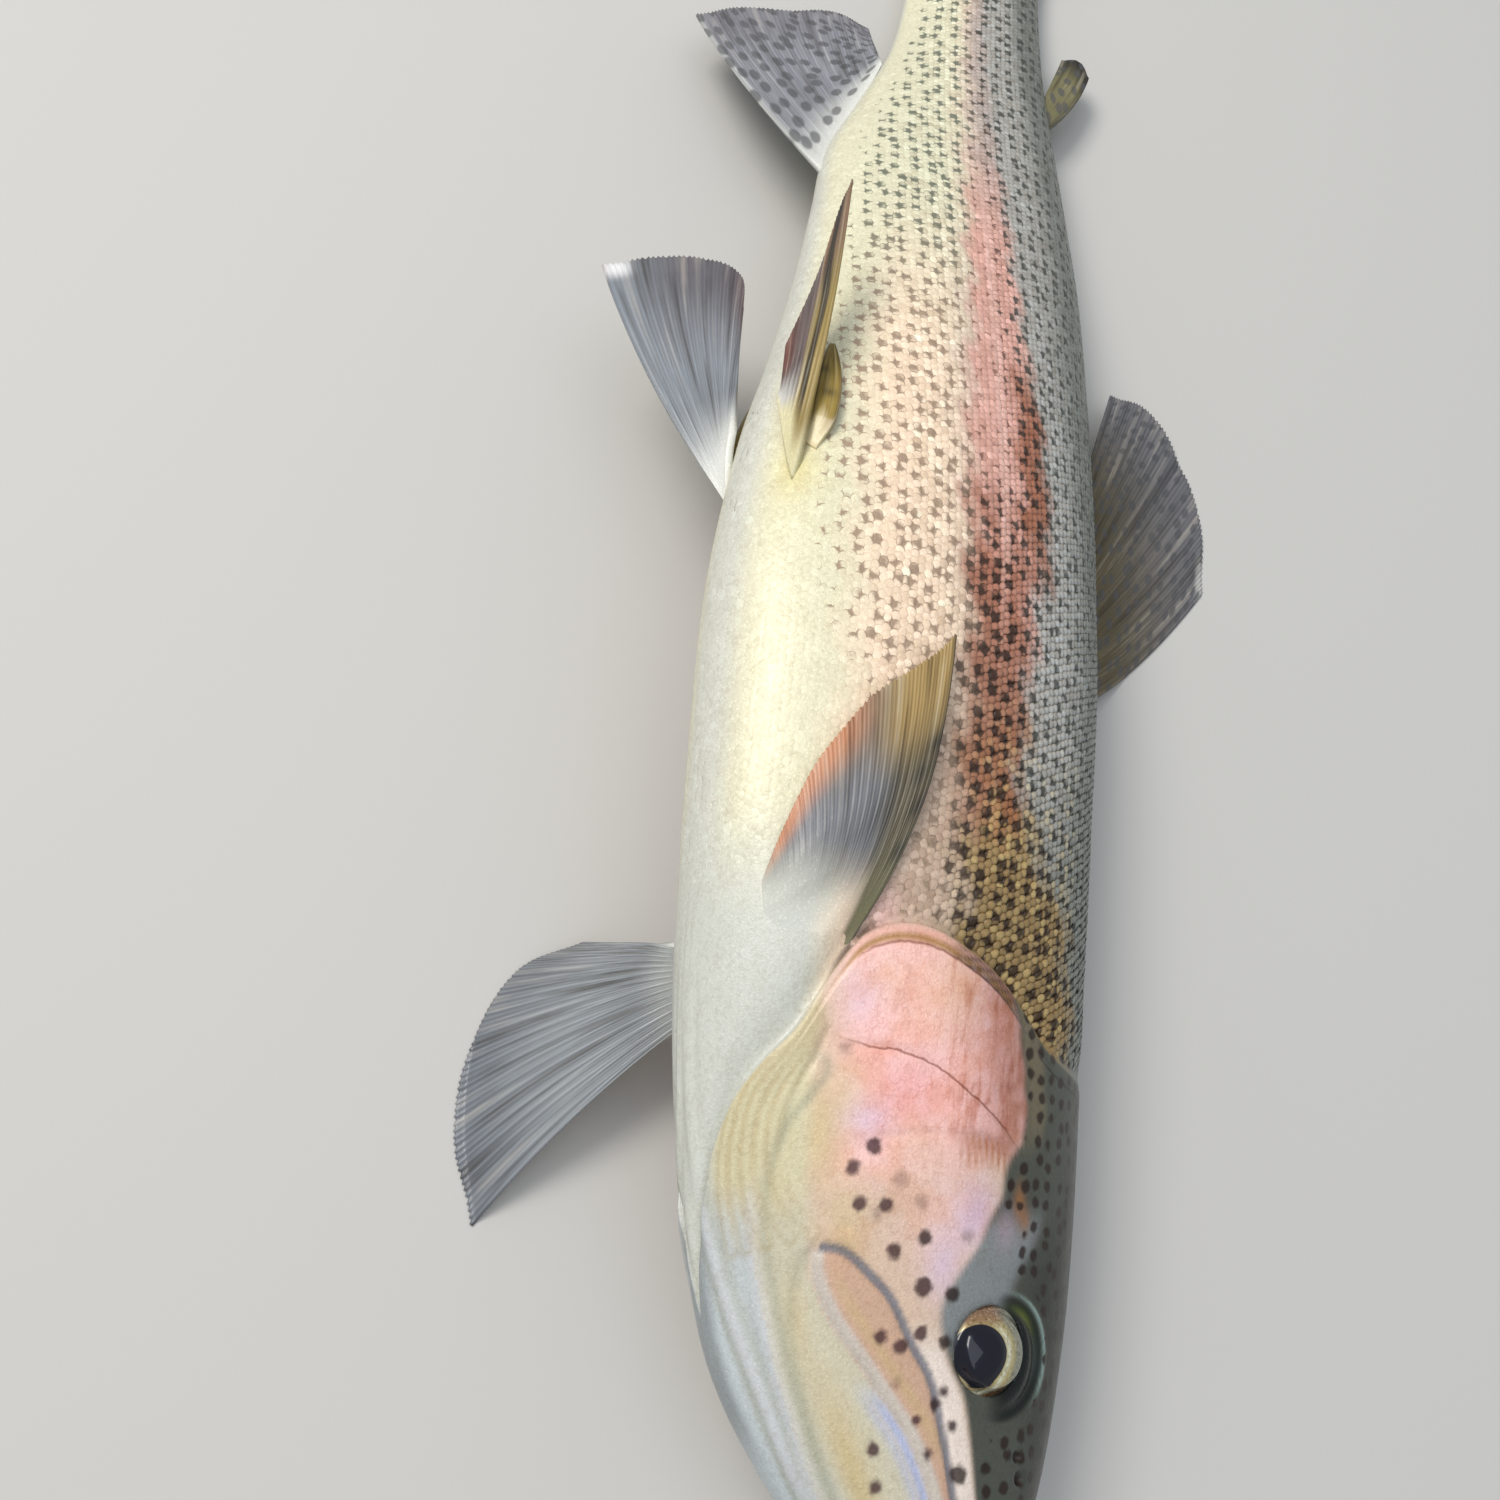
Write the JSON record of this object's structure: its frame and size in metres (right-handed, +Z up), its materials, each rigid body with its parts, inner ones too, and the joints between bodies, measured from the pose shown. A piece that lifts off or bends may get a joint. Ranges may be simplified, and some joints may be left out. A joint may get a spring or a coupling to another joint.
{
  "type": "rainbow trout, life-size still model",
  "caption": "Adult rainbow trout lying on its left flank, belly turned up, right pectoral fin folded along the side and left pectoral fin spread on the floor.",
  "frame": {"origin": "centre of the bounding box at floor level, under the fish", "axes": "+X toward the snout, +Y toward the back, +Z up out of the right flank"},
  "size_m": [0.5006, 0.1736, 0.0714],
  "materials": {
    "skin": "wet gloss, silver-cream belly, rose side band, olive spotted back",
    "fins": "thin wet membrane over fine rays, grey-olive with orange edges",
    "eyes": "clear polished dome over gold and silver iris"
  },
  "bodies": {
    "root": {"head": "skin", "lower_jaw": "skin", "maxilla_right": "skin", "maxilla_left": "skin", "gill_cover_right": "skin", "gill_cover_left": "skin", "eye_right": "eyes", "eye_left": "eyes", "trunk_front": "skin", "trunk_middle": "skin", "tail_stalk": "skin", "dorsal_fin": "fins", "adipose_fin": "fins", "caudal_fin": "fins", "anal_fin": "fins", "pelvic_fin_right": "fins", "pelvic_fin_left": "fins", "pelvic_lobe_right": "skin", "pelvic_lobe_left": "skin", "pectoral_fin_right": "fins", "pectoral_fin_left": "fins"}
  },
  "joints": []
}
